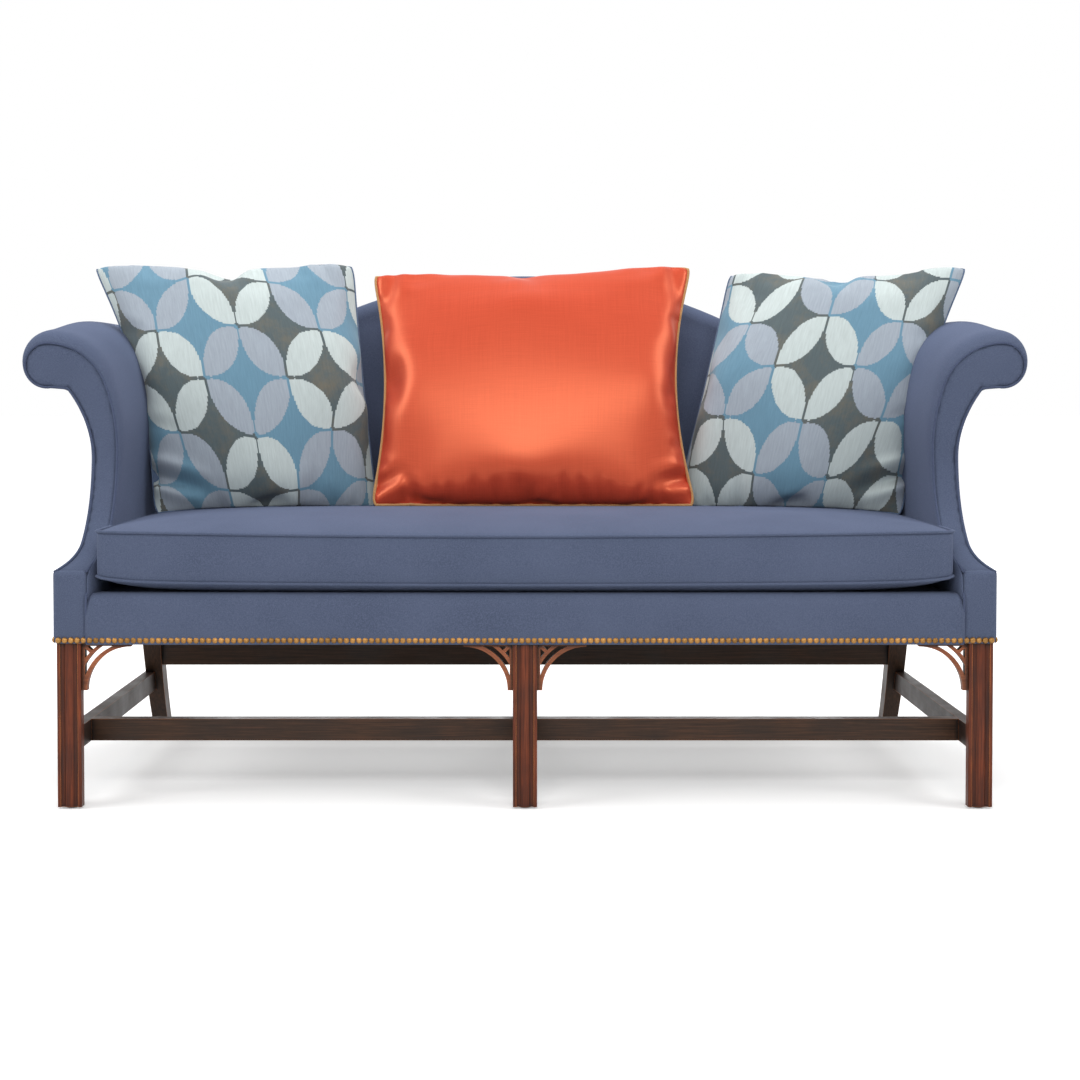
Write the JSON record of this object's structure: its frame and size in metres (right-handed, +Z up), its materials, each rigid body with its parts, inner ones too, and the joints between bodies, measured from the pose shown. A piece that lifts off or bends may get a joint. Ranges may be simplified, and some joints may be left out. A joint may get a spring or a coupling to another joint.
{
  "type": "camelback sofa",
  "caption": "Camelback sofa with out-scrolled arms, a loose boxed seat cushion, scatter cushions, brass nail trim and fret-bracketed square legs joined by stretchers.",
  "frame": {"origin": "on the floor, at the middle of the sofa's width and depth", "axes": "+X along the seat towards the viewer's right, -Y to the front, +Z up"},
  "size_m": [1.8236, 0.7594, 0.9793],
  "materials": {
    "mahogany": "dark red-brown, wax polished",
    "frame_hardwood": "unfinished beech, hidden by the upholstery",
    "blue_wool": "brushed slate-blue wool",
    "petal_weave": "woven overlapping circles in pale grey, blue and charcoal, plain slate-blue back",
    "orange_silk": "slubbed orange-red silk with a soft sheen",
    "tan_piping": "tan contrast piping",
    "antique_brass": "aged dome nail heads",
    "glide_plastic": "dark moulded glides",
    "jute": "natural jute webbing and hessian",
    "black_cotton": "dust cover cloth",
    "cushion_filling": "feather and foam filling in a cotton inner"
  },
  "bodies": {
    "frame": {"arm_facing_left": "blue_wool", "arm_facing_right": "blue_wool", "arm_rail_left": "frame_hardwood", "arm_rail_right": "frame_hardwood", "arm_stump_left": "frame_hardwood", "arm_stump_right": "frame_hardwood", "arm_welt_left": "blue_wool", "arm_welt_right": "blue_wool", "back_leg_centre": "mahogany", "back_leg_left": "mahogany", "back_leg_right": "mahogany", "back_rail": "frame_hardwood", "back_uprights": "frame_hardwood", "back_webbing": "jute", "bracket_centre_left": "mahogany", "bracket_centre_right": "mahogany", "bracket_left": "mahogany", "bracket_right": "mahogany", "brass_nails": "antique_brass", "centre_stretcher": "mahogany", "corner_blocks": "frame_hardwood", "crest_rail": "frame_hardwood", "dust_cover": "black_cotton", "foot_glides": "glide_plastic", "front_border": "blue_wool", "front_leg_centre": "mahogany", "front_leg_left": "mahogany", "front_leg_right": "mahogany", "front_rail": "frame_hardwood", "front_stretcher_left": "mahogany", "front_stretcher_right": "mahogany", "inside_arm_left": "blue_wool", "inside_arm_right": "blue_wool", "inside_back": "blue_wool", "outside_arm_left": "blue_wool", "outside_arm_right": "blue_wool", "outside_back": "blue_wool", "post_cover_left": "blue_wool", "post_cover_right": "blue_wool", "rear_stretcher_left": "mahogany", "rear_stretcher_right": "mahogany", "seat_braces": "frame_hardwood", "seat_hessian": "jute", "seat_platform": "blue_wool", "seat_webbing": "jute", "side_rail_left": "frame_hardwood", "side_rail_right": "frame_hardwood", "side_stretcher_left": "mahogany", "side_stretcher_right": "mahogany", "stay_rail": "frame_hardwood"},
    "seat_cushion": {"seat_cushion_casing": "blue_wool", "seat_cushion_filling": "cushion_filling", "seat_cushion_welts": "blue_wool"},
    "left_pillow": {"left_pillow": "petal_weave"},
    "right_pillow": {"right_pillow": "petal_weave"},
    "centre_pillow": {"silk_pillow": "orange_silk", "silk_pillow_piping": "tan_piping"}
  },
  "joints": [
    {"name": "seat_cushion_lift", "type": "slide", "parent": "frame", "child": "seat_cushion", "axis": [0, 0, 1], "range_m": [0, 0.5]},
    {"name": "left_pillow_lift", "type": "slide", "parent": "seat_cushion", "child": "left_pillow", "axis": [0, 0, 1], "range_m": [0, 0.5]},
    {"name": "centre_pillow_lift", "type": "slide", "parent": "seat_cushion", "child": "centre_pillow", "axis": [0, 0, 1], "range_m": [0, 0.5]},
    {"name": "right_pillow_lift", "type": "slide", "parent": "seat_cushion", "child": "right_pillow", "axis": [0, 0, 1], "range_m": [0, 0.5]}
  ]
}
